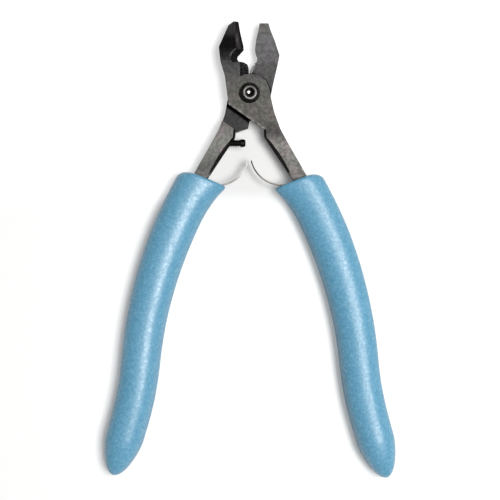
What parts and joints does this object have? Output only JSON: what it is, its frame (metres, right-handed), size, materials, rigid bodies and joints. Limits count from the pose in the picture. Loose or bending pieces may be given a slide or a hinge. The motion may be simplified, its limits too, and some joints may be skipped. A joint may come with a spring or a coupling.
{
  "type": "tube cutter",
  "caption": "Plier-type tube cutter with bypass shear jaws, a throat notch, a pivot screw, leaf springs, a stop screw and moulded grips.",
  "frame": {"origin": "on the pivot axis, at the back face of the joint, where the end of the pivot screw is flush", "axes": "+Y from the pivot towards the jaw tips, +Z along the pivot towards its head, +X to the right with the jaws up and the screw head facing the viewer"},
  "size_m": [0.1133, 0.1776, 0.012],
  "materials": {
    "blasted_steel": "fine blasted, with ground jaw faces and a darker outer skin",
    "black_oxide": "black oxide, satin",
    "spring_steel": "bright rolled strip",
    "blue_vinyl": "satin moulded vinyl with a fine pebbled skin"
  },
  "bodies": {
    "rear": {"rear_half": "blasted_steel", "pivot_screw": "black_oxide", "grip_left": "blue_vinyl"},
    "front": {"front_half": "blasted_steel", "grip_right": "blue_vinyl"},
    "left_leaf": {"leaf_spring_left": "spring_steel"},
    "right_leaf": {"leaf_spring_right": "spring_steel"},
    "stop": {"stop_screw": "black_oxide"}
  },
  "joints": [
    {"name": "jaw_pivot", "type": "hinge", "parent": "rear", "child": "front", "pos_m": [0, 0, 0], "axis": [0, 0, 1], "range_deg": [-20, 0], "stiffness_Nm_per_rad": 1},
    {"name": "left_leaf_flex", "type": "hinge", "parent": "rear", "child": "left_leaf", "pos_m": [-0.0168, -0.03622, 0.003], "axis": [0, 0, 1], "range_deg": [0, 19]},
    {"name": "right_leaf_flex", "type": "hinge", "parent": "front", "child": "right_leaf", "pos_m": [0.0168, -0.03622, 0.003], "axis": [0, 0, 1], "range_deg": [-19, 0]},
    {"name": "stop_adjust", "type": "slide", "parent": "rear", "child": "stop", "axis": [1, 0, 0], "range_m": [-0.0015, 0.0005]}
  ],
  "couplings": [
    {"joint": "left_leaf_flex", "follows": "jaw_pivot", "ratio": -0.92},
    {"joint": "right_leaf_flex", "follows": "jaw_pivot", "ratio": 0.92}
  ]
}
